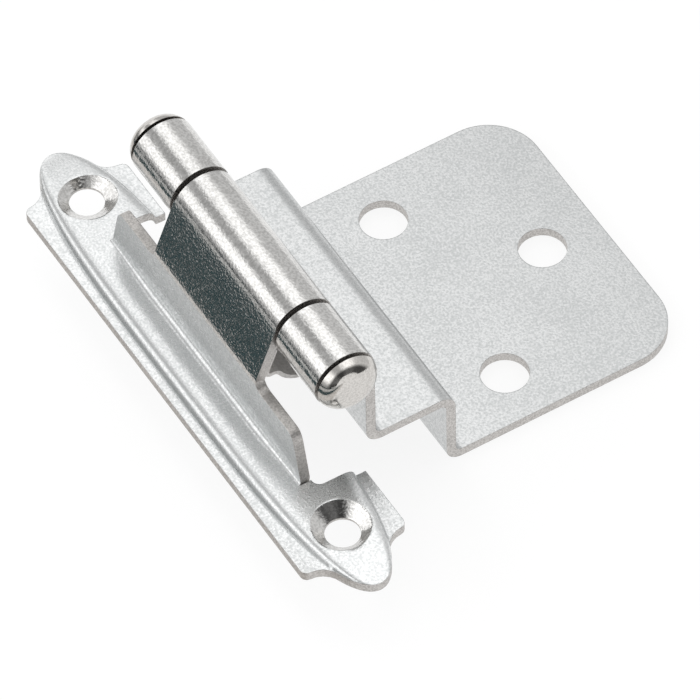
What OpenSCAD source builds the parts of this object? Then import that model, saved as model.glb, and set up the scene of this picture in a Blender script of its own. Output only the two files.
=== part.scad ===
// Semi-concealed cabinet hinge for a door with a 3/8 inch inset lip, closed.
// Millimetres. Y runs along the barrel, X across to the door, Z out of the face frame.
// The origin lies on the face frame, midway between the two frame screws.

/* [Frame leaf] */
// Thickness of the frame leaf's sheet
frame_t = 1.2; // [0.9:0.05:1.4]
// Width of the domed panel at the middle
dome_w = 11.3; // [10.4:0.1:12]
// Height of the dome's crown over the flange
dome_h = 1.5; // [1:0.1:2]
// Width of the flat flange beside the dome
flange_rim = 0.85; // [0.6:0.05:1.4]
// Length of the flange beyond each end of the notch
flange_end = 8.6; // [8:0.1:10]
// Radius of the flange's four corners
flange_corner_r = 0.8; // [0.3:0.1:1.2]
// Length of each domed tip beyond the flange
tip_len = 5.2; // [4.6:0.1:7]
// Length of the hollow fillets between the flange's ends and the domed tips
tip_fillet = 1.5; // [0.8:0.1:2.5]
// Distance of the frame screws from the flange's ends
screw_inset = 2.7; // [2.4:0.1:3.4]
// Diameter of the frame screw holes
screw_bore_d = 4; // [3.5:0.1:4.5]
// Diameter of the countersinks at the dome's surface
screw_head_d = 6.7; // [6:0.1:7.2]
// Depth of the countersinks
screw_depth = 1.1; // [0.8:0.05:1.2]
// Straight length of a screw hole under its countersink
screw_land = 0.3; // [0.2:0.05:0.5]

/* [Knuckle tab] */
// Place of the tab's outer face, measured from the line of the frame screws
tab_x = -0.9; // [-1.4:0.1:0]
// Height of the tab's free edges over the face frame
tab_top_z = 9.3; // [8:0.1:10]
// How far each end of the tab slants in, up to its free edge
tab_slant = 1.8; // [0.6:0.1:3]
// Radius of the tab's two upper corners
tab_corner_r = 1.3; // [0.6:0.1:2]
// Inside radius of the bend between the dome and the tab
tab_bend_r = 0.9; // [0.5:0.1:1.4]
// Lean of the wall that runs from the tab up to the barrel
wall_lean = 21; // [16:1:24]
// Inside radius of the bend between the tab and that wall
wall_bend_r = 0.8; // [0.4:0.1:2]
// Radius between the wall's ends and the tab's free edges
wall_foot_r = 1.2; // [0.5:0.1:2]
// Length of the notch that the tab leaves in the flange
notch_len = 42.2; // [41.6:0.2:44]
// Distance between the tab's foot and the notch's ends
notch_relief = 1.1; // [1.05:0.05:1.6]
// Radius of the notch's two inner corners
notch_corner_r = 1; // [0.4:0.1:1]

/* [Barrel] */
// Outer diameter of the rolled knuckles
barrel_d = 7.5; // [7:0.1:8]
// Distance of the barrel's axis from the line of the frame screws
barrel_x = 5.35; // [5:0.05:6]
// Height of the barrel's axis over the face frame
barrel_z = 16; // [15:0.1:18]
// Length of the middle knuckle
mid_knuckle_len = 21.2; // [16:0.2:26]
// Gap between neighbouring knuckles
knuckle_gap = 0.35; // [0.15:0.05:0.6]
// Slit where a rolled edge meets its own sheet
roll_slit = 0.1; // [0.05:0.05:0.4]

/* [Pin] */
// Radial clearance between the pin and the knuckles
pin_clear = 0.05; // [0.02:0.01:0.1]
// Diameter of the pin's heads
head_d = 7.3; // [6.4:0.1:7.8]
// Height of a head
head_h = 1.86; // [1.4:0.02:1.9]
// Radius of the rounding on a head's flank
head_round_r = 1.78; // [1.7:0.02:2.2]
// Gap between a head and the knuckle beside it
head_gap = 0.3; // [0.1:0.05:0.6]

/* [Door leaf] */
// Thickness of the door leaf's sheet
door_t = 1.2; // [0.9:0.05:1.4]
// Length of the door leaf along the barrel
door_len = 38.1; // [34:0.1:48]
// Height of the shelf's upper face over the face frame
shelf_z = 3.8; // [3.4:0.1:5]
// Width of the door's lip, between the wall and the step
lip_w = 10.1; // [9.5:0.1:12.7]
// Height of the step, from the shelf down to the plate
step_h = 10.1; // [9.5:0.1:12.7]
// Width of the screw plate, from the step to its free edge
plate_w = 30.2; // [28:0.1:38]
// Radius of the plate's two free corners
plate_corner_r = 6.35; // [3:0.05:8]
// Inside radius of the door leaf's bends
bend_r = 0.8; // [0.4:0.1:1.2]
// Diameter of the door screw holes
door_hole_d = 5.5; // [4.5:0.1:6]
// Distance between the two door screws beside the step
door_hole_pitch = 25.4; // [20:0.1:27]
// Distance of those two screws from the step
door_hole_inset = 10.2; // [8:0.1:12]
// Distance of the third screw beyond the first two
door_hole_offset = 12.8; // [10:0.1:16]
// Room under the middle knuckle in the door leaf's wall
wall_cut_clear = 0.5; // [0.3:0.1:1]
// Radius of that cut-out's lower corners
wall_cut_r = 1; // [0.5:0.1:1.5]

/* [Closing spring] */
// Thickness of the spring strip
spring_t = 0.5; // [0.4:0.05:0.6]
// Length of the spring along the barrel
spring_len = 20.6; // [14:0.2:21]
// Inside radius of the heel, where the spring leaves the leaning wall
spring_heel_r = 0.3; // [0.2:0.05:0.6]
// Drop of the heel below the start of the leaning wall
spring_heel_drop = 0.2; // [0:0.05:0.3]
// Inside radius of the crest between the heel and the bow
spring_crest_r = 0.8; // [0.4:0.1:1.2]
// Inside radius of the bow under the barrel
spring_bow_r = 4.2; // [3.8:0.1:4.5]
// Depth of the bow's lowest point under the barrel's axis
spring_drop = 9.2; // [8.6:0.1:9.6]
// Gap between the spring's free end and the door leaf's wall
spring_gap = 0.35; // [0.3:0.05:0.6]

/* [Hidden] */
$fn = 64;

// Sizes of the rolled knuckles
barrel_r = barrel_d / 2;
frame_bore_r = barrel_r - frame_t;
door_bore_r = barrel_r - door_t;
pin_r = min(frame_bore_r, door_bore_r) - pin_clear;

// Shape of the dome: powers of its outline, of its long profile and of its section
outline_power = 4;
long_power = 6;
section_power = 5;
// Angle at which the rows stop, so that a tip ends in a short edge and not in a point
tip_angle = 86;
// Depth of the crease between the dome and the tab's bend
crease = 0.15;
// Degrees by which a bend runs on into the straight sheet at each end
lap = 0.5;
// Drop of the tab's second bend, so that the leaning wall's face runs clear of its arc
seam = 0.01;

// Lengths of the notch, flange and domed panel along the barrel, from the middle
notch_y = notch_len / 2;
flange_y = notch_y + flange_end;
dome_y = flange_y + tip_len;
screw_y = flange_y - screw_inset;
flange_w = dome_w + 2 * flange_rim;
// Height of the dome's outer face beside the tab
dome_top_z = frame_t + dome_h;
// Length of the tab where it leaves the dome, and the edge of the dome's sheet there
tab_foot_len = notch_len - 2 * notch_relief;
tab_cut_x = tab_x - tab_bend_r / 3;
// Outside radius of the bend below the leaning wall; the wall's outer face leaves the
// barrel at the touch point and would cross the tab's outer face at cross_z
wall_bend_out = wall_bend_r + frame_t;
wall_touch_x = barrel_x - barrel_r * cos(wall_lean);
wall_touch_z = barrel_z + barrel_r * sin(wall_lean);
wall_cross_z = wall_touch_z - (wall_touch_x - tab_x) / tan(wall_lean);
wall_len = (wall_touch_x - tab_x) / sin(wall_lean) - wall_bend_out * tan(wall_lean / 2);
wall_bend_z = wall_cross_z - wall_bend_out * tan(wall_lean / 2) - seam;
// Places of the door leaf's wall and step
wall_out_x = barrel_x + barrel_r;
wall_in_x = barrel_x + door_bore_r;
step_x = wall_out_x + lip_w;
plate_z = shelf_z - step_h;
plate_end_x = step_x + plate_w;
door_knuckle_y = mid_knuckle_len / 2 + knuckle_gap;
// Length used by cuts that run right through
through = 100;

// Profile drawn in X and Z, extruded along Y on both sides of the middle
module along_y(len) {
    rotate([90, 0, 0])
        linear_extrude(height = len, center = true)
            children();
}

// Profile drawn in Y and Z, extruded along X on both sides of the origin
module along_x(len) {
    rotate([90, 0, 90])
        linear_extrude(height = len, center = true)
            children();
}

// Part of a bent sheet's profile, from angle a to angle b about the bend's centre;
// r is the inside radius
module bend(r, t, a, b) {
    reach = 3 * (r + t);
    mid = (a + b) / 2;
    intersection() {
        difference() {
            circle(r = r + t);
            circle(r = r);
        }
        polygon([
            [0, 0],
            [reach * cos(a), reach * sin(a)],
            [reach * cos(mid), reach * sin(mid)],
            [reach * cos(b), reach * sin(b)]
        ]);
    }
}

// Straight run of a bent strip, along +X under its line; the strip goes on with
// the children
module run(t, len) {
    translate([0, -t])
        square([len, t]);
    translate([len, 0])
        children();
}

// Bend of such a strip, to the left where the angle is positive and else to the right
module turn(t, r, angle) {
    side = angle > 0 ? -90 : 90;
    y = angle > 0 ? r : -t - r;
    translate([0, y]) {
        bend(r, t, min(side, side + angle) - lap, max(side, side + angle) + lap);
        rotate(angle)
            translate([0, -y])
                children();
    }
}

// Rolled knuckle's profile about the barrel's axis, with its wall on the +X side
// running down; the roll goes over the top and ends beside the wall
module knuckle_profile(t, wall_len) {
    bore_r = barrel_r - t;
    difference() {
        circle(r = barrel_r);
        circle(r = bore_r);
        translate([bore_r - roll_slit, -barrel_r])
            square([barrel_r, barrel_r]);
    }
    translate([bore_r, -wall_len])
        square([t, wall_len]);
}

// Rise of the sheet over the flange at a point of the dome, and half width of the dome
function dome_rise(y) = dome_h * (1 - pow(abs(y / dome_y), long_power));
function dome_half_w(y) = dome_w / 2 * sqrt(1 - pow(abs(y / dome_y), outline_power));
function lift(x, y) =
    dome_rise(y) * max(0, 1 - pow(abs(x) / dome_half_w(y), section_power));

// Half width of the whole leaf: flange, rounded corner, hollow fillet and domed tip
function leaf_half_w(y) =
    let (
        r = flange_corner_r,
        end_x = flange_w / 2 - r,
        w = dome_half_w(y),
        part = 1 - (y - flange_y) / tip_fillet
    )
    y <= flange_y - r ? flange_w / 2
    : y <= flange_y ? end_x + sqrt(max(0, r * r - pow(y - flange_y + r, 2)))
    : part > 0.2 ? w + (end_x - dome_half_w(flange_y)) * (1 - sqrt(1 - part * part))
    : w;

// Edge of the notch, with its rounded inner corner
function notch_edge(y) =
    let (r = notch_corner_r, d = min(max(y - notch_y + r, 0), r))
    tab_x + frame_t + r - sqrt(max(0, r * r - d * d));

// Steps from a to b: even, and closer together towards b
function even(a, b, n) = [for (i = [1:n]) a + (b - a) * i / n];
function closing(a, b, n, last = 90) = [for (i = [1:n]) a + (b - a) * sin(last * i / n)];

// Rows of the leaf's grid, from the middle to one tip, then from tip to tip
rows_half = concat(
    even(0, tab_foot_len / 2, 9),
    even(tab_foot_len / 2, notch_y - notch_corner_r, 1),
    closing(notch_y - notch_corner_r, notch_y, 4),
    even(notch_y, flange_y - flange_corner_r, 8),
    closing(flange_y - flange_corner_r, flange_y, 3),
    [for (k = [0.06, 0.25, 0.5, 0.75]) flange_y + k * tip_fillet],
    closing(flange_y + tip_fillet, dome_y, 9, tip_angle)
);
half_count = len(rows_half);
rows = concat(
    [for (i = [1:half_count]) -rows_half[half_count - i]],
    [0],
    rows_half
);

// Columns of the grid: flange, slope and crown up to the tab, then on to the other side
slope_cells = 8;
function row_x(y) =
    let (
        far = abs(y),
        w = dome_half_w(far),
        f = leaf_half_w(far),
        a = max(tab_cut_x, -0.3 * w),
        b = min(notch_edge(far), 0.3 * w)
    )
    concat(
        [-f],
        [for (i = [0:slope_cells]) -w + (a + w) * pow(i / slope_cells, 1.5)],
        [(a + b) / 2],
        [for (i = [0:slope_cells]) w - (w - b) * pow(1 - i / slope_cells, 1.5)],
        [f]
    );
first_cell = slope_cells + 1;
last_cell = 2 * slope_cells + 3;

// Whether the sheet fills the cell after row i and column j
function filled(i, j) =
    i < 0 || j < 0 || i > len(rows) - 2 || j > last_cell ? false
    : let (y = abs(rows[i] + rows[i + 1]) / 2)
    !(y < tab_foot_len / 2 && j >= first_cell)
    && !(y < notch_y && j >= first_cell + 2)
    && !(y > flange_y + 0.75 * tip_fillet && (j == 0 || j == last_cell));

// Flange and domed panel with the notch: the sheet between two grids of points, one
// frame_t over the other
module panel() {
    n = last_cell + 2;
    under = n * len(rows);
    points = [
        for (z = [frame_t, 0], y = rows)
            let (line = row_x(y))
            for (x = line)
                [x, y, z + lift(x, y)]
    ];
    cells = [
        for (i = [0:len(rows) - 2], j = [0:last_cell])
            if (filled(i, j))
                [i, j, i * n + j, (i + 1) * n + j, (i + 1) * n + j + 1, i * n + j + 1]
    ];
    skins = [
        for (c = cells)
            each [
                [c[2], c[3], c[4]],
                [c[2], c[4], c[5]],
                [under + c[2], under + c[4], under + c[3]],
                [under + c[2], under + c[5], under + c[4]]
            ]
    ];
    rims = [
        for (c = cells)
            for (e = [
                [filled(c[0] - 1, c[1]), c[5], c[2]],
                [filled(c[0], c[1] - 1), c[2], c[3]],
                [filled(c[0] + 1, c[1]), c[3], c[4]],
                [filled(c[0], c[1] + 1), c[4], c[5]]
            ])
                if (!e[0])
                    each [
                        [e[2], e[1], under + e[1]],
                        [e[2], under + e[1], under + e[2]]
                    ]
    ];
    polyhedron(points = points, faces = concat(skins, rims), convexity = 6);
}

// Profile of the tab in X and Z: bend out of the dome, upright, second bend, leaning
// wall and rolled middle knuckle
module tab_profile() {
    foot_z = dome_top_z - crease + tab_bend_r;
    translate([tab_x - tab_bend_r, foot_z])
        bend(tab_bend_r, frame_t, -90, 0);
    translate([tab_x, foot_z])
        square([frame_t, wall_bend_z - foot_z]);
    translate([tab_x + wall_bend_out, wall_bend_z])
        bend(wall_bend_r, frame_t, 180 - wall_lean - lap, 180);
    translate([barrel_x, barrel_z])
        rotate(-wall_lean)
            mirror([1, 0])
                knuckle_profile(frame_t, wall_len);
}

// Side outline of the tab in Y and Z: a foot with slanted ends and rounded corners,
// and the wall of the middle knuckle that rises from it on small fillets
module tab_outline() {
    low_z = frame_t;
    foot_y = tab_foot_len / 2;
    top_y = foot_y - tab_slant;
    r = tab_corner_r;
    slant = atan((foot_y - top_y) / (tab_top_z - low_z));
    corner_y = top_y + r * tan(slant) - r / cos(slant);
    end_y = corner_y + r * cos(slant);
    end_z = tab_top_z - r + r * sin(slant);
    polygon([[-foot_y, low_z], [foot_y, low_z], [end_y, end_z], [corner_y, tab_top_z],
        [-corner_y, tab_top_z], [-end_y, end_z]]);
    for (j = [-1, 1])
        translate([j * corner_y, tab_top_z - r])
            circle(r = r);
    wall_y = mid_knuckle_len / 2;
    translate([-wall_y, low_z])
        square([mid_knuckle_len, barrel_z + barrel_d - low_z]);
    difference() {
        translate([-wall_y - wall_foot_r, tab_top_z - r])
            square([mid_knuckle_len + 2 * wall_foot_r, wall_foot_r + r]);
        for (j = [-1, 1])
            translate([j * (wall_y + wall_foot_r), tab_top_z + wall_foot_r])
                circle(r = wall_foot_r);
    }
}

// Height of the straight part's upper end in a screw hole
land_z = frame_t + dome_rise(screw_y) - screw_depth;

// Dimple that the countersink's punch leaves under the dome
module screw_dimple(y) {
    translate([0, y, land_z - screw_land])
        cylinder(r1 = screw_bore_d / 2 + 0.8, r2 = screw_head_d / 2 + 0.3, h = 0.9);
}

// Countersunk hole in the dome
module screw_hole(y) {
    bore_r = screw_bore_d / 2;
    rim_r = screw_head_d / 2;
    slope = (rim_r - bore_r) / screw_depth;
    over = 1;
    translate([0, y, -over])
        cylinder(r = bore_r, h = land_z + 2 * over);
    translate([0, y, land_z])
        cylinder(r1 = bore_r, r2 = rim_r + over * slope, h = screw_depth + over);
}

// Frame leaf: one stamping, with its flange, domed panel, tab and middle knuckle
module frame_leaf() {
    color("gainsboro")
    difference() {
        union() {
            panel();
            intersection() {
                along_y(tab_foot_len)
                    tab_profile();
                along_x(through)
                    tab_outline();
            }
            for (j = [-1, 1])
                screw_dimple(j * screw_y);
        }
        for (j = [-1, 1])
            screw_hole(j * screw_y);
    }
}

// Profile of the door leaf in X and Z, from the wall under the barrel to the plate
module door_profile() {
    wall_bottom = shelf_z + bend_r;
    translate([wall_in_x, wall_bottom])
        square([door_t, barrel_z - wall_bottom]);
    translate([wall_out_x + bend_r, shelf_z + bend_r])
        bend(bend_r, door_t, 180, 270);
    translate([wall_out_x + bend_r, shelf_z - door_t])
        square([lip_w - 2 * bend_r - door_t, door_t]);
    translate([step_x - door_t - bend_r, shelf_z - door_t - bend_r])
        bend(bend_r, door_t, 0, 90);
    translate([step_x - door_t, plate_z + bend_r])
        square([door_t, step_h - door_t - 2 * bend_r]);
    translate([step_x + bend_r, plate_z + bend_r])
        bend(bend_r, door_t, 180, 270);
    translate([step_x + bend_r, plate_z - door_t])
        square([plate_w - bend_r, door_t]);
}

// Cut-out in the door leaf's wall, in Y and Z, that makes room for the middle knuckle
module wall_cut_outline() {
    y = door_knuckle_y;
    z = barrel_z - barrel_r - wall_cut_clear;
    r = wall_cut_r;
    translate([-y, z + r])
        square([2 * y, barrel_d]);
    translate([-y + r, z])
        square([2 * (y - r), barrel_d]);
    for (j = [-1, 1])
        translate([j * (y - r), z + r])
            circle(r = r);
}

// What is cut off outside one rounded corner of the plate
module plate_corner_cut(side) {
    r = plate_corner_r;
    translate([plate_end_x - r, side * (door_len / 2 - r), 0])
        difference() {
            translate([0, side > 0 ? 0 : -2 * r, -through / 2])
                cube([2 * r, 2 * r, through]);
            cylinder(r = r, h = 2 * through, center = true);
        }
}

// Door leaf: one stamping, with its end knuckles, wall, shelf, step and screw plate
module door_leaf() {
    knuckle_len = door_len / 2 - door_knuckle_y;
    row_x = step_x + door_hole_inset;
    holes = [
        [row_x, door_hole_pitch / 2],
        [row_x, -door_hole_pitch / 2],
        [row_x + door_hole_offset, 0]
    ];
    color("lightgray")
    difference() {
        union() {
            along_y(door_len)
                door_profile();
            for (j = [-1, 1])
                translate([barrel_x, j * (door_knuckle_y + knuckle_len / 2), barrel_z])
                    along_y(knuckle_len)
                        knuckle_profile(door_t, door_t);
        }
        translate([wall_out_x, 0, 0])
            along_x(4 * door_t)
                wall_cut_outline();
        for (side = [-1, 1])
            plate_corner_cut(side);
        for (p = holes)
            translate([p[0], p[1], plate_z - 2 * door_t])
                cylinder(d = door_hole_d, h = 3 * door_t);
    }
}

// One pin head, turned: short rim, rounded flank and flat end
module pin_head() {
    head_r = head_d / 2;
    rotate_extrude()
        intersection() {
            square([head_r, head_h]);
            union() {
                square([head_r - head_round_r, head_h]);
                translate([head_r - head_round_r + 0.02, 0.1])
                    circle(r = head_round_r);
            }
        }
}

// Hinge pin with a head at each end
module hinge_pin() {
    head_y = door_len / 2 + head_gap;
    color("silver")
    translate([barrel_x, 0, barrel_z]) {
        rotate([90, 0, 0])
            cylinder(r = pin_r, h = 2 * head_y + head_h, center = true);
        translate([0, head_y, 0])
            rotate([-90, 0, 0])
                pin_head();
        translate([0, -head_y, 0])
            rotate([90, 0, 0])
                pin_head();
    }
}

// Closing spring: a strip that lies on the back of the leaning wall, turns out at the
// wall's foot and bows under the barrel towards the door leaf's wall
module closing_spring() {
    seat = 0.02;
    flat = 0.2;
    heel_out = spring_heel_r + spring_t;
    bow_out = spring_bow_r + spring_t;
    heel_z = wall_bend_z - spring_heel_drop;
    // heel's centre, across and along the leaning wall from the barrel's axis
    across = heel_out + seat - frame_bore_r;
    along = (heel_z + heel_out - barrel_z + across * sin(wall_lean)) / cos(wall_lean);
    heel_x = barrel_x + across * cos(wall_lean) + along * sin(wall_lean);
    // angle of the slope between crest and bow, and of the bow's rise to its free end
    drop = heel_z - (barrel_z - spring_drop);
    sweep_r = spring_crest_r + bow_out;
    dip = acos(1 - drop / sweep_r);
    low_x = heel_x + flat + sweep_r * sin(dip);
    rise = asin((wall_in_x - spring_gap - low_x) / bow_out);
    leg_top = -barrel_r + 0.35;
    color("darkgray")
    along_y(spring_len)
        translate([barrel_x, barrel_z])
            rotate(-wall_lean)
                translate([seat + spring_t - frame_bore_r, leg_top])
                    rotate(-90)
                        run(spring_t, leg_top - along)
                            turn(spring_t, spring_heel_r, 90 + wall_lean)
                                run(spring_t, flat)
                                    turn(spring_t, spring_crest_r, -dip)
                                        turn(spring_t, spring_bow_r, dip + rise);
}

frame_leaf();
door_leaf();
hinge_pin();
closing_spring();
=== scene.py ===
"""Semi-concealed cabinet hinge: two pressed leaves, a headed pin and a closing spring."""

import math

import bpy
import numpy as np
from mathutils import Matrix, Vector


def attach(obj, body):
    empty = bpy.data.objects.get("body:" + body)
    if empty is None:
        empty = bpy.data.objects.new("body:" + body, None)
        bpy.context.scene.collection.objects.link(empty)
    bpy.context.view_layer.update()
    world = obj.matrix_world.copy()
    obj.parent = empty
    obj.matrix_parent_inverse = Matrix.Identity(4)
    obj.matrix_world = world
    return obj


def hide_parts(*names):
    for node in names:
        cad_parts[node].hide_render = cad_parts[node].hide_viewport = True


bl_info = {
    "name": "Cabinet hinge",
    "version": (1, 0, 0),
    "blender": (4, 5, 0),
    "location": "View3D > Sidebar > Hinge",
    "description": "Builds a plated cabinet hinge for a door with an inset lip",
    "category": "Object",
}

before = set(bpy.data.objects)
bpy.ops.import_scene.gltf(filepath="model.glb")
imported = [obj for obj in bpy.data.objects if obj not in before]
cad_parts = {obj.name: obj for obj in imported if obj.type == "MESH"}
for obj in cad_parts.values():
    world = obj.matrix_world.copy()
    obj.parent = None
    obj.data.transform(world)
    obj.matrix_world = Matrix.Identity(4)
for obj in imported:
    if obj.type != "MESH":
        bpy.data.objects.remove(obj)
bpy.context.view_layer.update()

# Lengths of shapes are in millimetres, in the hinge's own frame: Y along the
# barrel, X towards the door, Z out of the face frame.
MM = 0.001
SHEET = 1.2
FRAME_SCREW = 27.0
BARREL = np.array([5.35, 16.0])
KNUCKLE_OUT, KNUCKLE_IN = 3.75, 2.55
# Degrees that the outside and the inside of a knuckle are rolled through.
ROLL_OUT, ROLL_IN, ROLL_STEPS = 310.8, 343.9, 60


# Shapes ---------------------------------------------------------------------

def path(start, heading, steps):
    """Points along a bent line and the direction to its left at each.

    The line starts at start with the given heading in degrees. A step is
    (length, count) for a straight run, or (radius, angle, count) for an arc of
    that radius, which turns left where the angle is positive.
    """
    at, turn = np.array(start, float), math.radians(heading)
    points, lefts = [at[None]], [np.array([[-math.sin(turn), math.cos(turn)]])]
    for step in steps:
        part = np.linspace(0, 1, step[-1] + 1)[1:, None]
        left = np.array([-math.sin(turn), math.cos(turn)])
        if len(step) == 2:
            ahead = np.array([left[1], -left[0]])
            run = at + part * step[0] * ahead
            lefts.append(np.repeat(left[None], step[-1], 0))
        else:
            side = math.copysign(1, step[1])
            angle = turn + math.radians(step[1]) * part
            normal = np.hstack([-np.sin(angle), np.cos(angle)])
            run = at + side * step[0] * (left - normal)
            lefts.append(normal)
            turn += math.radians(step[1])
        points.append(run)
        at = run[-1]
    return np.concatenate(points), np.concatenate(lefts)


def round_barrel(radius, degrees):
    """Points at a radius about the barrel's axis, at angles from X towards Z."""
    angle = np.radians(degrees)
    return BARREL + radius * np.stack([np.cos(angle), np.sin(angle)], 1)


def shell(top, bottom, keep, polished=None):
    """Closed sheet between two grids of points, where keep marks the cells it has.

    Every kept cell gives a face of the top grid and the opposite face of the
    bottom grid, and every edge between a kept and a missing cell gives a face of
    the rim, all turned outwards. Returns points, faces and, for each face, its
    material: 0 on the sheet, 1 on the rim and 2 on the polished cells.
    """
    rows, cols = top.shape[:2]
    count = rows * cols
    index = np.arange(count).reshape(rows, cols)
    a, b, c, d = index[:-1, :-1], index[1:, :-1], index[1:, 1:], index[:-1, 1:]
    upper = np.stack([a, d, c, b], -1)[keep]
    around = np.pad(keep, 1)
    edges = []
    for p, q, near in (
        (a, d, around[:-2, 1:-1]),
        (d, c, around[1:-1, 2:]),
        (c, b, around[2:, 1:-1]),
        (b, a, around[1:-1, :-2]),
    ):
        open_edge = keep & ~near
        edges.append(np.stack([q, p, p + count, q + count], -1)[open_edge])
    rim = np.concatenate(edges)
    points = np.concatenate([top.reshape(-1, 3), bottom.reshape(-1, 3)])
    faces = np.concatenate([upper, upper[:, ::-1] + count, rim])
    zone = np.zeros(keep.shape, int)
    if polished is not None:
        zone[polished] = 2
    marks = np.concatenate([zone[keep], zone[keep], np.ones(len(rim), int)])
    if volume(points, faces) < 0:
        faces = faces[:, ::-1]
    return points, faces, marks


def joined(parts):
    """One closed surface from several shells.

    Points nearer than a micrometre become one, and a face that two shells
    share, back to back, is dropped, so that the shells open into each other.
    Points that no face uses are left out.
    """
    points, faces, marks, shift = [], [], [], 0
    for some_points, some_faces, some_marks in parts:
        points.append(some_points)
        faces.append(some_faces + shift)
        marks.append(some_marks)
        shift += len(some_points)
    points, faces, marks = map(np.concatenate, (points, faces, marks))
    key = np.round(points / 0.001).astype(np.int64)
    _, first, place = np.unique(key, axis=0, return_index=True, return_inverse=True)
    points, faces = points[first], place.reshape(-1)[faces]
    _, which, times = np.unique(
        np.sort(faces, 1), axis=0, return_inverse=True, return_counts=True
    )
    single = times[which.reshape(-1)] == 1
    faces, marks = faces[single], marks[single]
    used, renumbered = np.unique(faces, return_inverse=True)
    return points[used], renumbered.reshape(faces.shape), marks


def volume(points, faces):
    """Signed volume inside quads, from the triple products of their corners."""
    p, q, r, s = (points[faces[:, i]] for i in range(4))
    return (np.einsum("ij,ij", p, np.cross(q, r)) + np.einsum("ij,ij", p, np.cross(r, s))) / 6


def placed(name, data):
    """New object with this data, linked into the scene."""
    made = bpy.data.objects.new(name, data)
    bpy.context.scene.collection.objects.link(made)
    return made


def piece(name, body, node, parts, materials):
    """Blender object from shells in millimetres, smooth but for its sharp edges."""
    points, faces, marks = joined(parts)
    if volume(points, faces) < 0:
        faces = faces[:, ::-1]
    corner = faces != np.roll(faces, -1, 1)
    size = corner.sum(1)
    good = size >= 3
    faces, marks, corner, size = faces[good], marks[good], corner[good], size[good]
    loops = faces[corner]
    mesh = bpy.data.meshes.new(name)
    mesh.vertices.add(len(points))
    mesh.vertices.foreach_set("co", (points * MM).astype(np.float32).ravel())
    mesh.loops.add(len(loops))
    mesh.loops.foreach_set("vertex_index", loops.astype(np.int32))
    mesh.polygons.add(len(faces))
    mesh.polygons.foreach_set("loop_start", (np.cumsum(size) - size).astype(np.int32))
    mesh.polygons.foreach_set("material_index", marks.astype(np.int32))
    mesh.polygons.foreach_set("use_smooth", np.ones(len(faces), bool))
    mesh.update(calc_edges=True)
    mesh.validate()
    mesh.set_sharp_from_angle(angle=math.radians(32))
    for material in materials:
        mesh.materials.append(material)
    made = placed(name, mesh)
    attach(made, body)
    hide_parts(node)


def mirrored(half):
    """Stations on both sides of zero from those on one side, zero first."""
    return np.concatenate([-half[:0:-1], half])


def spaced(*stops):
    """Stations from 0 through (place, count) stops, evenly spaced between them."""
    line = [np.zeros(1)]
    for place, count in stops:
        line.append(np.linspace(line[-1][-1], place, count + 1)[1:])
    return np.concatenate(line)


def round_hole(x, y, row, col, reach, rings, radii):
    """Bends the grid lines round a hole into circles, and back to the plain grid.

    x is the place along a row and y the place along a column. Counted in cells
    from the hole's centre, the square rings given in rings become circles with
    the given radii, and between the last of them and the ring at reach the
    points blend into the grid as it was.
    """
    i, j = np.mgrid[0:x.shape[0], 0:x.shape[1]]
    a, b = j - col, i - row
    away = np.maximum(np.abs(a), np.abs(b)).astype(float)
    length = np.maximum(np.hypot(a, b), 1e-9)
    radius = np.interp(away, rings, radii)
    cx, cy = x[row, col], y[row, col]
    fade = np.clip((away - rings[-1]) / (reach - rings[-1]), 0, 1)
    round_x, round_y = cx + radius * a / length, cy + radius * b / length
    return (
        np.where(away < reach, (1 - fade) * round_x + fade * x, x),
        np.where(away < reach, (1 - fade) * round_y + fade * y, y),
    )


def square_hole(keep, row, col, ring_index):
    """Takes the cells inside a ring round a hole's centre out of the sheet."""
    keep[row - ring_index:row + ring_index, col - ring_index:col + ring_index] = False


# Frame leaf -----------------------------------------------------------------

DOME = {"long": 34.9, "wide": 5.65, "rise": 1.5, "outline": 4, "profile": 6, "section": 9}


def dome_half_width(y):
    """Half width of the panel: w * sqrt(1 - (y / L) ** 4)."""
    u = np.clip(np.abs(y) / DOME["long"], 0, 1)
    return DOME["wide"] * np.sqrt(1 - u ** DOME["outline"])


def even_step(t):
    """0 up to t = 0, 1 from t = 1, and 3 t ** 2 - 2 t ** 3 between them."""
    t = np.clip(t, 0, 1)
    return t * t * (3 - 2 * t)


def tab_end(y):
    """0 along the middle of the tab, rising to 1 at its ends."""
    return even_step((np.abs(y) - 11) / 8.5)


def dome_lift(x, y):
    """Rise of the sheet over the flange: h * (1 - u ** 6) times an arch.

    u runs along the panel and s across it. The arch is nearly the square root of
    a = 1 - s ** 9: it is a * ((1 + e) / (a ** 2 + e)) ** 0.25, where a small e
    keeps its slope finite at the foot. The foot is eased into the flange with a
    soft maximum of the rise and zero, and a valley is pressed in on the tab's
    side, deepest in the middle of the panel.
    """
    u = np.clip(np.abs(y) / DOME["long"], 0, 1)
    s = np.abs(x) / np.maximum(dome_half_width(y), 0.05)
    arch = 1 - np.minimum(s, 1.6) ** DOME["section"]
    finite = 0.08
    arch = arch * ((1 + finite) / (arch ** 2 + finite)) ** 0.25
    rise = DOME["rise"] * (1 - u ** DOME["profile"]) * arch
    ease = 0.07
    valley = 0.1 * even_step((x + 3.2) / 1.3) * (1 - tab_end(y))
    return ease * np.logaddexp(0, rise / ease) * (1 - u ** 40) - valley


def bend_radius(y):
    """Inner radius of the bend under the tab: 0.9, down to 0.4 at the tab's ends."""
    return 0.9 - 0.5 * tab_end(y)


def crease_x(y):
    """Foot of the tab, where its bend leaves the panel: the tab's face less the radius."""
    return -0.9 - bend_radius(y)


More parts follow.
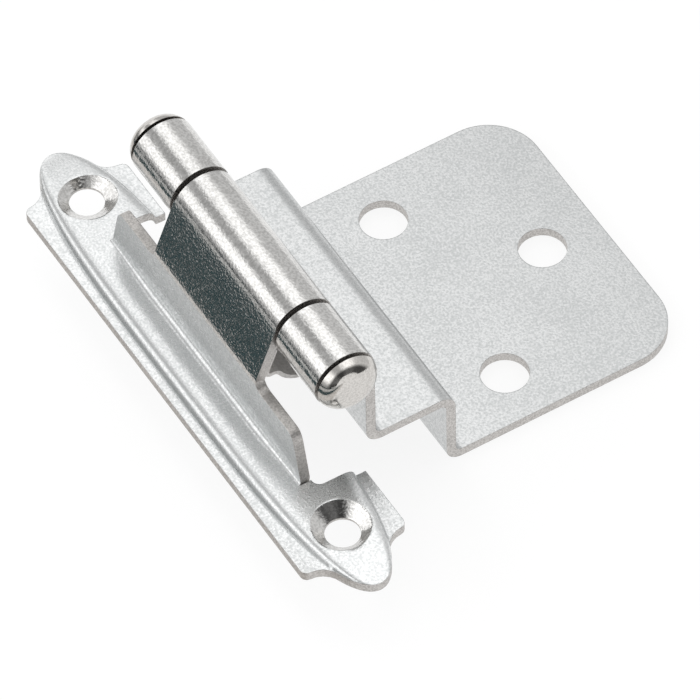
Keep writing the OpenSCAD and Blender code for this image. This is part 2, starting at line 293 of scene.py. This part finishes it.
def flange_half_width(y):
    """Half width of the whole leaf: flange, rounded corner, hollow fillet, panel."""
    y = np.abs(y)
    corner = 5.7 + np.sqrt(np.clip(0.64 - np.clip(y - 28.9, 0, 0.8) ** 2, 0, None))
    part = np.clip(1 - (y - 29.7) / 1.5, 0, 1)
    wide = dome_half_width(y)
    hollow = wide + (5.7 - dome_half_width(29.7)) * (1 - np.sqrt(1 - part ** 2))
    return np.where(y <= 29.7, corner, hollow)


def leaf_panel():
    """Domed panel and flange of the frame leaf, as a grid of rows across the leaf.

    The columns follow the flange's edge, the panel's edge, the valley beside the
    tab and the notch, so that every edge lies on a grid line.
    """
    quarter = np.radians(np.linspace(0, 90, 7))[1:]
    half = spaced((10.6, 22), (20, 18), (20.1, 1))
    half = np.concatenate([half, 20.1 + np.sin(quarter)])
    half = np.concatenate([half, np.linspace(21.1, 22.9, 5)[1:], np.linspace(22.9, 27, 14)[1:]])
    half = np.concatenate([half, np.linspace(27, 28.9, 7)[1:], 28.9 + 0.8 * np.sin(quarter[1::2])])
    half = np.concatenate([half, 29.7 + 1.5 * np.array([0.06, 0.25, 0.55, 1])])
    tip = np.radians(np.linspace(0, 87, 18))[1:]
    half = np.concatenate([half, 31.2 + 3.7 * np.sin(tip)])
    station = mirrored(half)
    y = station[:, None]
    far = np.abs(y)
    wide, edge = dome_half_width(y), flange_half_width(y)
    notch = 0.3 + 1 - np.sqrt(1 - np.clip(far - 20.1, 0, 1) ** 2)
    even = even_step((far - 21.1) / 1.8)
    foot = -crease_x(y)
    at_tab = np.hstack([
        -foot - (wide - foot) * (np.linspace(1, 0, 11)[:-1] ** 0.8)[None],
        -foot + (notch + foot) * np.linspace(0, 1, 7)[None],
    ])
    at_hole = -wide * np.linspace(1, 0, 17)[None]
    left = (1 - even) * at_tab + even * at_hole
    middle = left[:, -1:]
    right = middle + (wide - middle) * np.linspace(0, 1, 17)[None, 1:]
    flange = np.linspace(1, 0, 4)[None, :-1]
    margin = (edge - wide) * flange
    x = np.hstack([-wide - margin, left, right, wide + margin[:, ::-1]])
    y = np.repeat(y, x.shape[1], 1)

    keep = np.ones((x.shape[0] - 1, x.shape[1] - 1), bool)
    mid_y = (station[1:] + station[:-1]) / 2
    no_flange = (edge - wide)[:, 0] < 1e-6
    bare = no_flange[1:] & no_flange[:-1]
    keep[bare, :3] = False
    keep[bare, -3:] = False
    keep[np.abs(mid_y) < 21.1, 19:] = False
    keep[np.abs(mid_y) < 20.0, 13:] = False

    # Countersinks. Counted in cells from a hole's centre, the grid's square rings
    # become the bore's circle and the rim, where the cone meets the dome, and
    # blend into the plain grid again further out. Known fault: just outside the
    # rim some plain rings lie nearer than it does, so the grid steps back by up to
    # about 0.15 mm there and the sheet folds over itself in a narrow ring.
    bore, deep = 2.0, 1.1
    slope = 1.35 / deep
    bore_ring, rim_ring, plain_ring, hole_col = 5, 9, 13, 19
    land = SHEET + dome_lift(0, FRAME_SCREW) - deep
    cones = np.zeros(keep.shape, bool)
    i, j = np.mgrid[0:x.shape[0], 0:x.shape[1]]
    for middle_y in (-FRAME_SCREW, FRAME_SCREW):
        row = int(np.argmin(np.abs(station - middle_y)))
        cones[row - rim_ring:row + rim_ring, hole_col - rim_ring:hole_col + rim_ring] = True
        away = np.maximum(np.abs(j - hole_col), np.abs(i - row))
        turn = np.arctan2(i - row, j - hole_col)
        rim = np.full(x.shape, 3.3)
        for _ in range(8):
            high = SHEET + dome_lift(rim * np.cos(turn), middle_y + rim * np.sin(turn))
            rim = bore + (high - land) * slope
        part = np.clip((away - bore_ring) / (rim_ring - bore_ring), 0, 1)
        radius = np.where(away <= rim_ring, bore + (rim - bore) * part, rim)
        fade = np.clip((away - rim_ring) / (plain_ring - rim_ring), 0, 1)
        inside = away < plain_ring
        round_x = radius * np.cos(turn)
        round_y = middle_y + radius * np.sin(turn)
        x = np.where(inside, (1 - fade) * round_x + fade * x, x)
        y = np.where(inside, (1 - fade) * round_y + fade * y, y)
        square_hole(keep, row, hole_col, bore_ring)
    lift = dome_lift(x, y)
    top = SHEET + lift
    for middle_y in (-FRAME_SCREW, FRAME_SCREW):
        away = np.hypot(x, y - middle_y)
        top = np.minimum(top, np.where(away < 5, land + (away - bore) / slope, 99))
        dimple = land - 0.3 + np.clip(away - 2.8, 0, None) * 0.9 / 0.85
        lift = np.minimum(lift, np.where(away < 5, dimple, 99))
    return shell(np.dstack([x, y, top]), np.dstack([x, y, lift]), keep, cones)


def leaf_tab():
    """Tab, leaning wall and middle knuckle: a bent profile carried along the barrel.

    Each column of the grid runs up the profile. Below the tab's free edge the
    columns spread out to its slanted ends, and above it only those of the wall
    go on, on small fillets.
    """
    quarter = np.radians(np.linspace(0, 90, 7))
    face, left = path((-1.8, 2.7), 0, [(0.9, 90, 8), (4.4, 8)])
    rise = np.concatenate([8.0 + 1.3 * np.sin(quarter[1:]), np.linspace(9.3, 9.812, 4)[1:]])
    face = np.vstack([face, np.stack([np.full(len(rise), -0.9), rise], 1)])
    left = np.vstack([left, np.repeat(left[-1:], len(rise), 0)])
    more, more_left = path((-0.9, 9.812), 90, [(2.0, -21, 5), (7.3, 14)])
    back = np.vstack([face - SHEET * left, (more - SHEET * more_left)[1:]])
    face = np.vstack([face, more[1:]])
    rolled = np.linspace(159, 159 - ROLL_OUT, ROLL_STEPS + 1)[1:]
    face = np.vstack([face, round_barrel(KNUCKLE_OUT, rolled)])
    rolled = np.linspace(159, 159 - ROLL_IN, ROLL_STEPS + 1)[1:]
    back = np.vstack([back, round_barrel(KNUCKLE_IN, rolled)])

    # The bend has 8 rows, the flat above it 8 and the rounded corner 6.
    top_row = 8 + 8 + 6
    height = np.clip(face[:, 1], 2.7, 99)
    height[top_row:] = np.maximum(height[top_row:], 9.3)
    slant = 20 - 1.8 * (height - 2.7) / 6.6
    corner = 17.16 + np.sqrt(np.clip(1.69 - np.clip(height - 8.0, 0, 1.3) ** 2, 0, None))
    outer = np.where(height > 8.0, np.minimum(slant, corner), slant)
    inner = np.interp(height, [2.7, 9.3], [10.6, 11.8])
    fillet = 11.8 - np.sqrt(np.clip(1.44 - np.clip(10.5 - height, 0, 1.2) ** 2, 0, None))
    inner[top_row:] = fillet[top_row:]
    inner[top_row + 8:] = 10.6
    # The knuckle is a little shorter than its wall, for the gaps at its ends.
    inner[-ROLL_STEPS:] = 10.44
    outer[top_row:] = inner[top_row:] + 2
    near = np.linspace(0, 1, 23)[None] * inner[:, None]
    beyond = inner[:, None] + (outer - inner)[:, None] * np.linspace(0, 1, 19)[None, 1:]
    half = np.hstack([near, beyond])
    y = np.hstack([-half[:, :0:-1], half])

    x, z = (np.repeat(face[:, i:i + 1], y.shape[1], 1) for i in (0, 1))
    radius = bend_radius(y[:9])
    foot = SHEET + dome_lift(crease_x(y[:9]), y[:9])
    turn = np.radians(np.linspace(0, 90, 9))[:, None]
    x[:9] = -0.9 - radius * (1 - np.sin(turn))
    z[:9] = foot + radius * (1 - np.cos(turn))
    up = np.linspace(0, 1, 9)[:, None]
    z[8:17] = (1 - up) * z[8] + up * z[16]
    back_x = x + (back - face)[:, :1]
    back_z = z + (back - face)[:, 1:]
    keep = np.ones((y.shape[0] - 1, y.shape[1] - 1), bool)
    keep[top_row:, :18] = False
    keep[top_row:, -18:] = False
    polished = slice(top_row + 3, None)
    return shell(np.dstack([x, y, z]), np.dstack([back_x, y, back_z]), keep, polished)


# Door leaf ------------------------------------------------------------------

def door_sheet():
    """Door leaf: a bent profile carried along the barrel, from the roll to the plate.

    The columns draw in round the plate's two free corners and round the lower
    corners of the cut-out, each a quarter circle, and the grid opens for the
    middle knuckle and for the three screw holes.
    """
    # Both sides of the roll end at -360 degrees, where the wall begins.
    sweep = np.linspace(0, 1, ROLL_STEPS + 1)[:-1]
    roll_out = round_barrel(KNUCKLE_OUT, -49.2 - sweep * ROLL_OUT)
    roll_in = round_barrel(KNUCKLE_IN, -16.1 - sweep * ROLL_IN)
    quarter = np.sin(np.radians(np.linspace(0, 90, 5)))
    cut_out_corner = [(step, 1) for step in np.diff(quarter)]
    wall = [(3.25, 8)] + cut_out_corner + [(7.15, 14)]
    shelf_and_step = [(0.8, 90, 8), (7.3, 16), (2.0, -90, 8), (7.3, 16), (0.8, 90, 8)]
    plate = [(9.4, 24), (12.8, 33), (0.85, 2)]
    face, left = path((9.1, 16.0), -90, wall + shelf_and_step + plate)
    corner_radius, corner_from = 6.35, 43.05
    corner = np.sin(np.radians(np.linspace(0, 90, 17)))[1:]
    end = face[-1] + np.stack([corner_radius * corner, 0 * corner], 1)
    face = np.vstack([face, end])
    left = np.vstack([left, np.repeat(left[-1:], len(end), 0)])
    back = np.vstack([roll_in, face - SHEET * left])
    face = np.vstack([roll_out, face])

    # Columns up to core stay straight, and those beyond it follow the edges.
    core, cut_out, straight_end, half_long = 6.35, 10.95, 12.7, 19.05
    half = spaced((core, 16), (cut_out, 12), (straight_end, 4), (half_long, 16))
    column = mirrored(half)[None]
    away = np.abs(column)
    first = len(roll_out)
    at = np.arange(len(face))[:, None]
    far = np.clip(face[:, :1] - corner_from, 0, corner_radius)
    width = straight_end + np.sqrt(corner_radius ** 2 - far ** 2)
    width = np.where(at > first, width, half_long)
    drawn = np.interp(at, first + np.arange(8, 13), 1 - np.sqrt(1 - quarter ** 2))
    drawn = np.where(at > first + 12, np.clip(1 - (at - first - 12) / 8, 0, 1), drawn)
    # The rolls stand a little further apart than the wall, for the gaps there.
    drawn = np.where(at < first, -0.18, drawn)
    near = np.interp(away, [0, cut_out, straight_end, half_long], [0, 1, 0, 0])
    spread = (width - core) / (half_long - core)
    y = np.where(away <= core, away, core + (away - core) * spread)
    y = np.sign(column) * (y - drawn * near)

    keep = np.ones((len(face) - 1, column.size - 1), bool)
    middle = np.abs((column[0, 1:] + column[0, :-1]) / 2) < cut_out
    keep[:first + 12, middle] = False
    x = np.repeat(face[:, :1], column.size, 1)
    zero = len(half) - 1
    # The plate starts 82 rows past the roll, and its holes are 24 and 57 rows on.
    inner_row, outer_row = first + 82 + 24, first + 82 + 57
    for row, col in ((inner_row, zero - 32), (inner_row, zero + 32), (outer_row, zero)):
        y, x = round_hole(y, x, row, col, reach=12, rings=[6, 7], radii=[2.75, 3.05])
        square_hole(keep, row, col, 6)
    back_x = x + back[:, :1] - face[:, :1]
    high = np.repeat(face[:, 1:], column.size, 1)
    low = np.repeat(back[:, 1:], column.size, 1)
    return shell(np.dstack([x, y, high]), np.dstack([back_x, y, low]), keep, slice(0, first + 8))


# Pin and spring -------------------------------------------------------------

def pin_turned():
    """Hinge pin: a profile of radius over length, turned about the barrel's axis.

    A head has a short rim, a flank with radius 1.55 + 2.12 cos a at 19.15 +
    2.12 sin a along the barrel, and a flat end. The shaft between the heads has a
    material of its own, painted near black as painted shade for the gaps at the joints.
    """
    flank = np.radians(np.linspace(9, 76, 16))
    end = np.array([1.9, 1.4, 0.7, 0.0])
    y = np.concatenate([[0.0, 19.5, 19.5, 19.52], 19.15 + 2.12 * np.sin(flank), 21.21 + 0 * end])
    radius = np.concatenate([[2.5, 2.5, 3.5, 3.65], 1.55 + 2.12 * np.cos(flank), end])
    # The flank begins outside the rim, so that the profile never steps back.
    y[4:] = np.maximum(y[4:], 19.54)
    y = np.concatenate([-y[:0:-1], y[1:]])
    radius = np.concatenate([radius[:0:-1], radius[1:]])
    cols = 97
    angle = np.radians(np.linspace(0, 360, cols))[None]
    points = np.dstack([
        BARREL[0] + radius[:, None] * np.cos(angle),
        np.repeat(y[:, None], cols, 1),
        BARREL[1] + radius[:, None] * np.sin(angle),
    ])
    rows = len(points)
    index = np.arange(rows * cols).reshape(rows, cols)
    faces = np.stack([index[:-1, :-1], index[:-1, 1:], index[1:, 1:], index[1:, :-1]], -1)
    shaft = (radius[1:] <= 2.5) & (radius[:-1] <= 2.5) & (np.abs(y[1:] + y[:-1]) < 39)
    return points.reshape(-1, 3), faces.reshape(-1, 4), np.repeat(shaft.astype(int), cols - 1)


def spring_strip():
    """Closing spring: a leg, a heel, a crest and a bow, carried along the barrel."""
    face, left = path(
        (2.236, 13.553), -111,
        [(3.262, 6), (0.3, 111, 10), (0.2, 1), (1.3, -60.6, 8), (4.2, 75.5, 20)],
    )
    thick, half_wide, cols = 0.5, 10.3, 25
    y = np.repeat(np.linspace(-half_wide, half_wide, cols)[None], len(face), 0)
    top, bottom = (
        np.dstack([np.repeat(line[:, :1], cols, 1), y, np.repeat(line[:, 1:], cols, 1)])
        for line in (face, face - thick * left)
    )
    return shell(top, bottom, np.ones((len(face) - 1, cols - 1), bool))


# Materials ------------------------------------------------------------------

def linear(colour):
    """Linear red, green, blue and alpha from an sRGB hex value."""
    value = [int(colour[i:i + 2], 16) / 255 for i in (1, 3, 5)]
    return [v / 12.92 if v <= 0.04045 else ((v + 0.055) / 1.055) ** 2.4 for v in value] + [1]


def add(tree, kind, settings=None, **inputs):
    """Adds a node with its settings, and links or sets its inputs.

    An input is a value, or another node's output socket. Underscores in an
    input's name stand for spaces, and a name such as i1 is the input's number.
    """
    made = tree.nodes.new(kind)
    for name, value in (settings or {}).items():
        setattr(made, name, value)
    for name, value in inputs.items():
        number = name[0] == "i" and name[1:].isdigit()
        socket = made.inputs[int(name[1:])] if number else made.inputs[name.replace("_", " ")]
        if isinstance(value, bpy.types.NodeSocket):
            tree.links.new(value, socket)
        else:
            socket.default_value = value
    return made


def blank_tree(owner):
    """Empty node tree of a material or a world."""
    owner.use_nodes = True
    owner.node_tree.nodes.clear()
    return owner.node_tree


def plated(name, colour, dark, rough, grain, bump=0.5, edge_round=0.0, metallic=1.0):
    """Zinc-plated steel: bright metal with a fine grain and slow cloudy changes.

    The grain is the crystal texture under the plating. It shows as small changes
    of slope, tone and gloss, so that lights break up into specks at their edges.
    On such a sheet it is taken as about 0.1 mm across, too fine to show in the
    render, so it is drawn two or three times as coarse. Sharp edges catch the
    light as if they were rounded, though the mesh keeps them sharp. The lengths
    grain and edge_round are in metres.
    """
    material = bpy.data.materials.new(name)
    tree = blank_tree(material)
    place = add(tree, "ShaderNodeTexCoord").outputs["Object"]
    fine = add(tree, "ShaderNodeTexNoise", Vector=place, Scale=1 / grain, Detail=1.0,
               Roughness=0.5).outputs["Fac"]
    cloud_size = 7 * MM
    cloud = add(tree, "ShaderNodeTexNoise", Vector=place, Scale=1 / cloud_size, Detail=3.0,
                Roughness=0.55).outputs["Fac"]
    part = add(tree, "ShaderNodeMath", {"operation": "MULTIPLY"}, i0=cloud, i1=0.2).outputs[0]
    mixed = add(tree, "ShaderNodeMath", {"operation": "MULTIPLY_ADD"}, i0=fine, i1=0.8, i2=part)
    tone = add(tree, "ShaderNodeMapRange", Value=mixed.outputs[0], From_Min=0.38, From_Max=0.6)
    blend = add(tree, "ShaderNodeMix", {"data_type": "RGBA"}, Factor=tone.outputs[0])
    blend.inputs[6].default_value = linear(dark)
    blend.inputs[7].default_value = linear(colour)
    gloss = add(tree, "ShaderNodeMapRange", Value=mixed.outputs[0], From_Min=0.35, From_Max=0.65,
                To_Min=rough + 0.05, To_Max=rough - 0.04)
    relief = add(tree, "ShaderNodeBump", Height=fine, Strength=bump, Distance=0.04 * MM)
    if edge_round:
        edges = add(tree, "ShaderNodeBevel", {"samples": 4}, Radius=edge_round)
        tree.links.new(edges.outputs[0], relief.inputs["Normal"])
    shader = add(tree, "ShaderNodeBsdfPrincipled", Base_Color=blend.outputs[2], Metallic=metallic,
                 Roughness=gloss.outputs[0], Normal=relief.outputs[0])
    add(tree, "ShaderNodeOutputMaterial", Surface=shader.outputs[0])
    return material


def sheet_finishes(part, satin, satin_dark, polished, edge, sizes):
    """The three finishes of a pressed leaf, in the order of its material numbers.

    Satin plating on the flat and domed sheet softens every light into a broad
    sheen. Sheared edges are torn and duller, with short marks. The roll, the wall
    below it and the countersinks are burnished by the tools and mirror the lights
    as bands with speckled borders.
    """
    return [
        plated("satin_zinc_plate_" + part, satin, satin_dark, rough=0.3,
               grain=sizes.leaf_grain, bump=0.4, edge_round=sizes.edge_round),
        plated("sheared_edge_" + part, edge, "#b3b0ad", rough=0.45, grain=0.2 * MM,
               edge_round=sizes.edge_round),
        plated("burnished_zinc_roll_" + part, polished, "#c3c2c0", rough=0.11,
               grain=sizes.roll_grain, bump=0.55),
    ]


# Stage ----------------------------------------------------------------------

def seen_directly(tree):
    """Socket that is 1 for camera, glossy and transmission rays, and 0 for others."""
    ray = add(tree, "ShaderNodeLightPath")
    seen = add(tree, "ShaderNodeMath", {"operation": "MAXIMUM"},
               i0=ray.outputs["Is Camera Ray"], i1=ray.outputs["Is Glossy Ray"])
    seen = add(tree, "ShaderNodeMath", {"operation": "MAXIMUM"},
               i0=seen.outputs[0], i1=ray.outputs["Is Transmission Ray"])
    return seen.outputs[0]


def world_light():
    """Even light all round, seen as white by the camera and in reflections."""
    world = bpy.data.worlds.new("studio")
    bpy.context.scene.world = world
    tree = blank_tree(world)
    soft = add(tree, "ShaderNodeBackground", Color=(1, 1, 1, 1), Strength=0.75)
    white = add(tree, "ShaderNodeBackground", Color=(1, 1, 1, 1), Strength=1.0)
    mix = add(tree, "ShaderNodeMixShader", i0=seen_directly(tree),
              i1=soft.outputs[0], i2=white.outputs[0])
    add(tree, "ShaderNodeOutputWorld", Surface=mix.outputs[0])


def softbox(name, place, aim, size, strength):
    """Rectangular lamp that faces aim, with the given brightness at its face.

    It lights the floor and dull surfaces only. Metal mirrors the tent instead.
    """
    data = bpy.data.lights.new(name, "AREA")
    data.shape = "RECTANGLE"
    data.size, data.size_y = size
    data.energy = strength * math.pi * size[0] * size[1]
    lamp = placed(name, data)
    back = (Vector(place) - Vector(aim)).normalized()
    along = Vector((0, 1, 0))
    across = along.cross(back).normalized()
    along = back.cross(across)
    turn = Matrix((across, along, back)).transposed()
    lamp.matrix_world = Matrix.Translation(place) @ turn.to_4x4()
    lamp.visible_camera = False
    lamp.visible_glossy = False


# Brightness round the tent: angle about the Y axis in degrees, from the right-hand
# side over the top to the left, and the tone there.
TENT = (
    (-35, 0.68), (-12, 0.68), (38, 0.68), (50, 0.76), (58, 1.15), (70, 1.48), (86, 1.40),
    (96, 1.02), (104, 0.50), (121, 0.50), (129, 0.85), (137, 1.50), (158, 1.55), (165, 1.05),
    (172, 0.55), (181, 0.36),
)
# The ramp holds tones up to 1, so they are divided by this.
TENT_SCALE = 1.6

# Cards beside the set: name, right-hand and left-hand edge in metres, and colour.
CARDS = (
    ("grey_card_near", -0.009, -0.031, "#dedbd8"),
    ("black_card_near", -0.031, -0.056, "#394a4d"),
    ("grey_card_far", -0.056, -0.115, "#c9c9c8"),
    ("black_card_far", -0.115, -0.249, "#3c4446"),
)


def light_tent():
    """Half-round tent over the hinge, whose strips of light and shade metal mirrors.

    The place on the tent is the angle atan2(x, z) about the Y axis, which runs
    through a ramp of tones, a little brighter towards the near end. Beyond that
    end, where the camera looks in, the tent is open and dark.
    """
    reach = 0.25
    angle = np.radians(np.linspace(-35, 181.5, 110))
    rows = np.stack([reach * np.cos(angle), 0 * angle, reach * np.sin(angle)], 1)
    near, far = rows + [0, -0.5, 0], rows + [0, 0.9, 0]
    count = len(rows)
    a = np.arange(count - 1)
    faces = np.stack([a, a + 1, a + 1 + count, a + count], 1)
    mesh = bpy.data.meshes.new("light_tent")
    mesh.from_pydata(np.concatenate([near, far]).tolist(), [], faces.tolist())
    material = bpy.data.materials.new("tent_strips")
    tree = blank_tree(material)
    place = add(tree, "ShaderNodeTexCoord").outputs["Object"]
    axes = add(tree, "ShaderNodeSeparateXYZ", Vector=place)
    round_y = add(tree, "ShaderNodeMath", {"operation": "ARCTAN2"},
                  i0=axes.outputs["X"], i1=axes.outputs["Z"])
    first, last = TENT[0][0], TENT[-1][0]
    where = add(tree, "ShaderNodeMapRange", Value=round_y.outputs[0],
                From_Min=math.radians(90 - first), From_Max=math.radians(90 - last))
    ramp = add(tree, "ShaderNodeValToRGB", Fac=where.outputs[0])
    stops = ramp.color_ramp.elements
    while len(stops) < len(TENT):
        stops.new(0.5)
    for stop, (turn, tone) in zip(stops, TENT):
        stop.position = (turn - first) / (last - first)
        stop.color = [tone / TENT_SCALE] * 3 + [1]
    nearer = add(tree, "ShaderNodeMapRange", Value=axes.outputs["Y"], From_Min=0.08,
                 From_Max=0.24, To_Min=1.76, To_Max=1.46)
    opening = add(tree, "ShaderNodeMapRange", Value=axes.outputs["Y"], From_Min=-0.19,
                  From_Max=-0.11, To_Min=0.1, To_Max=1.0)
    level = add(tree, "ShaderNodeMath", {"operation": "MULTIPLY"},
                i0=nearer.outputs[0], i1=opening.outputs[0])
    glow = add(tree, "ShaderNodeEmission", Color=ramp.outputs["Color"], Strength=level.outputs[0])
    add(tree, "ShaderNodeOutputMaterial", Surface=glow.outputs[0])
    mesh.materials.append(material)
    reflected_only("light_tent", mesh)


def reflected_only(name, mesh):
    """Stage object that the camera, shadows and diffuse light don't see."""
    made = placed(name, mesh)
    made.visible_camera = False
    made.visible_shadow = False
    made.visible_diffuse = False


def card(name, right, left, colour):
    """Dark or grey card that lies beside the set, which only reflections see."""
    near, far, low = -0.25, 0.5, -0.0077
    mesh = bpy.data.meshes.new(name)
    corners = [(right, near, low), (right, far, low), (left, far, low), (left, near, low)]
    mesh.from_pydata(corners, [], [(0, 1, 2, 3)])
    material = bpy.data.materials.new(name)
    tree = blank_tree(material)
    glow = add(tree, "ShaderNodeEmission", Color=linear(colour), Strength=1.0)
    add(tree, "ShaderNodeOutputMaterial", Surface=glow.outputs[0])
    mesh.materials.append(material)
    reflected_only(name, mesh)


def floor_sheet():
    """Pale floor just under the door plate, white where no shadow falls on it."""
    low, reach = -0.0078, 3.0
    mesh = bpy.data.meshes.new("floor")
    mesh.from_pydata(
        [(-reach, -reach, low), (reach, -reach, low), (reach, reach, low), (-reach, reach, low)],
        [], [(0, 1, 2, 3)],
    )
    material = bpy.data.materials.new("paper_floor")
    tree = blank_tree(material)
    part = add(tree, "ShaderNodeMath", {"operation": "MULTIPLY"}, i0=seen_directly(tree), i1=0.8)
    paper = add(tree, "ShaderNodeBsdfDiffuse", Color=(0.9, 0.9, 0.9, 1))
    glow = add(tree, "ShaderNodeEmission", Color=(1, 1, 1, 1), Strength=1.05)
    mix = add(tree, "ShaderNodeMixShader", i0=part.outputs[0],
              i1=paper.outputs[0], i2=glow.outputs[0])
    add(tree, "ShaderNodeOutputMaterial", Surface=mix.outputs[0])
    mesh.materials.append(material)
    placed("floor", mesh)


def camera():
    """Long-lens camera from above the near end of the barrel.

    Its place and turn were fitted to the holes, knuckles and edges.
    """
    data = bpy.data.cameras.new("camera")
    data.sensor_width = 36
    data.lens = 584.9
    data.clip_start, data.clip_end = 0.05, 20
    made = placed("camera", data)
    right = Vector((0.85316, -0.52144, -0.01473))
    back = Vector((-0.31266, -0.53376, 0.78571)).normalized()
    up = back.cross(right).normalized()
    right = up.cross(back)
    turn = Matrix((right, up, back)).transposed()
    made.matrix_world = Matrix.Translation((-0.37332, -0.66679, 0.97383)) @ turn.to_4x4()
    bpy.context.scene.camera = made


# Add-on ---------------------------------------------------------------------

class HingeSizes(bpy.types.PropertyGroup):
    """Sizes of the finish that a user would change."""

    edge_round: bpy.props.FloatProperty(
        name="Edge rounding", description="How round the sheets' edges look",
        default=0.00016, min=0.0, precision=5, subtype="DISTANCE", unit="LENGTH")
    leaf_grain: bpy.props.FloatProperty(
        name="Leaf grain", description="Size of the grain on the satin sheet",
        default=0.00026, min=0.00005, precision=5, subtype="DISTANCE", unit="LENGTH")
    roll_grain: bpy.props.FloatProperty(
        name="Roll grain", description="Size of the grain on the knuckles",
        default=0.0003, min=0.00005, precision=5, subtype="DISTANCE", unit="LENGTH")


class HingeFinish(bpy.types.PropertyGroup):
    """Colours of the finishes, as hex values."""

    frame_zinc: bpy.props.StringProperty(
        name="Frame leaf", description="Colour of the frame leaf's zinc plating", default="#e3e4e4")
    roll_zinc: bpy.props.StringProperty(
        name="Knuckles", description="Colour of the burnished zinc on the knuckles", default="#e0dfdd")
    door_zinc: bpy.props.StringProperty(
        name="Door leaf", description="Colour of the door leaf's zinc plating", default="#d3d4d4")
    pin_zinc: bpy.props.StringProperty(
        name="Pin", description="Colour of the pin's plating", default="#d6d3cf")
    edge: bpy.props.StringProperty(
        name="Sheared edge", description="Colour of the sheets' sheared edges", default="#cfccc9")
    # The spring's colour is painted light: near white, to lift the shade under the knuckle.
    spring: bpy.props.StringProperty(
        name="Spring", description="Colour of the spring steel", default="#e2dfdc")


class HINGE_OT_frame_leaf(bpy.types.Operator):
    """Makes the frame leaf with its domed panel, tab and middle knuckle"""

    bl_idname = "hinge.frame_leaf"
    bl_label = "Frame leaf"

    def execute(self, context):
        sizes, finish = context.scene.hinge_sizes, context.scene.hinge_finish
        piece("frame_leaf_sheet", "frame", "frame_leaf",
              [leaf_panel(), leaf_tab()],
              sheet_finishes("frame", finish.frame_zinc, "#cfd1d1", finish.roll_zinc,
                             finish.edge, sizes))
        return {"FINISHED"}


class HINGE_OT_door_leaf(bpy.types.Operator):
    """Makes the door leaf with its end knuckles, shelf, step and screw plate"""

    bl_idname = "hinge.door_leaf"
    bl_label = "Door leaf"

    def execute(self, context):
        sizes, finish = context.scene.hinge_sizes, context.scene.hinge_finish
        piece("door_leaf_sheet", "door", "door_leaf", [door_sheet()],
              sheet_finishes("door", finish.door_zinc, "#bfc1c1", finish.roll_zinc,
                             finish.edge, sizes))
        return {"FINISHED"}


class HINGE_OT_hinge_pin(bpy.types.Operator):
    """Makes the pin with its two domed heads"""

    bl_idname = "hinge.hinge_pin"
    bl_label = "Hinge pin"

    def execute(self, context):
        finish = context.scene.hinge_finish
        # Bright zinc on turned steel is smooth enough to mirror the tent, with a faint mottle.
        # The shaft is painted near black as painted shade, for the dark shadow lines in the gaps at
        # the joints.
        heads = plated("bright_zinc_pin", finish.pin_zinc, "#c4c1bd", rough=0.13,
                       grain=0.25 * MM, bump=0.12)
        shaft = plated("pin_shaft_painted_shade", "#232322", "#141413", rough=0.5, grain=0.3 * MM)
        piece("headed_pin", "door", "hinge_pin", [pin_turned()], [heads, shaft])
        return {"FINISHED"}


class HINGE_OT_closing_spring(bpy.types.Operator):
    """Makes the closing spring under the middle knuckle"""

    bl_idname = "hinge.closing_spring"
    bl_label = "Closing spring"

    def execute(self, context):
        finish = context.scene.hinge_finish
        # Spring steel with a matt coating: it scatters light and mirrors little. Its colour is
        # painted light, near white, so that in the shade under the knuckle it reads as grey.
        steel = plated("spring_steel_painted_light", finish.spring, "#d2cfcc", rough=0.6,
                       grain=0.3 * MM, bump=0.1, metallic=0.1)
        piece("spring_strip", "frame", "closing_spring", [spring_strip()],
              [steel, steel])
        return {"FINISHED"}


class HINGE_OT_stage(bpy.types.Operator):
    """Makes the floor, the lamps, the cards and the camera"""

    bl_idname = "hinge.stage"
    bl_label = "Studio stage"

    def execute(self, context):
        context.scene.view_settings.view_transform = "Standard"
        camera()
        world_light()
        floor_sheet()
        softbox("softbox_left", (-0.55, 0.25, 0.35), (0.01, 0, 0.01), (0.28, 0.9), 1.6)
        softbox("softbox_top", (-0.02, 0.30, 0.75), (0.01, 0, 0.01), (0.22, 0.9), 1.6)
        softbox("softbox_front", (-0.32, -0.5, 0.1), (0.005, 0, 0.01), (0.3, 0.3), 2.0)
        light_tent()
        for name, right, left, colour in CARDS:
            card(name, right, left, colour)
        return {"FINISHED"}


class HINGE_PT_panel(bpy.types.Panel):
    """Lists the hinge's pieces, sizes and finishes"""

    bl_idname = "HINGE_PT_panel"
    bl_label = "Cabinet hinge"
    bl_space_type = "VIEW_3D"
    bl_region_type = "UI"
    bl_category = "Hinge"

    def draw(self, context):
        for name in ("edge_round", "leaf_grain", "roll_grain"):
            self.layout.prop(context.scene.hinge_sizes, name)
        for name in ("frame_zinc", "roll_zinc", "door_zinc", "pin_zinc", "edge", "spring"):
            self.layout.prop(context.scene.hinge_finish, name)
        for made in OPERATORS:
            self.layout.operator(made.bl_idname)


OPERATORS = (
    HINGE_OT_stage, HINGE_OT_frame_leaf, HINGE_OT_door_leaf, HINGE_OT_hinge_pin,
    HINGE_OT_closing_spring,
)
CLASSES = (HingeSizes, HingeFinish) + OPERATORS + (HINGE_PT_panel,)


def register():
    for made in CLASSES:
        bpy.utils.register_class(made)
    bpy.types.Scene.hinge_sizes = bpy.props.PointerProperty(type=HingeSizes)
    bpy.types.Scene.hinge_finish = bpy.props.PointerProperty(type=HingeFinish)


def unregister():
    del bpy.types.Scene.hinge_sizes
    del bpy.types.Scene.hinge_finish
    for made in reversed(CLASSES):
        bpy.utils.unregister_class(made)


def main():
    """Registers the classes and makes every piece."""
    register()
    bpy.ops.hinge.stage()
    bpy.ops.hinge.frame_leaf()
    bpy.ops.hinge.door_leaf()
    bpy.ops.hinge.hinge_pin()
    bpy.ops.hinge.closing_spring()


if __name__ == "__main__":
    main()
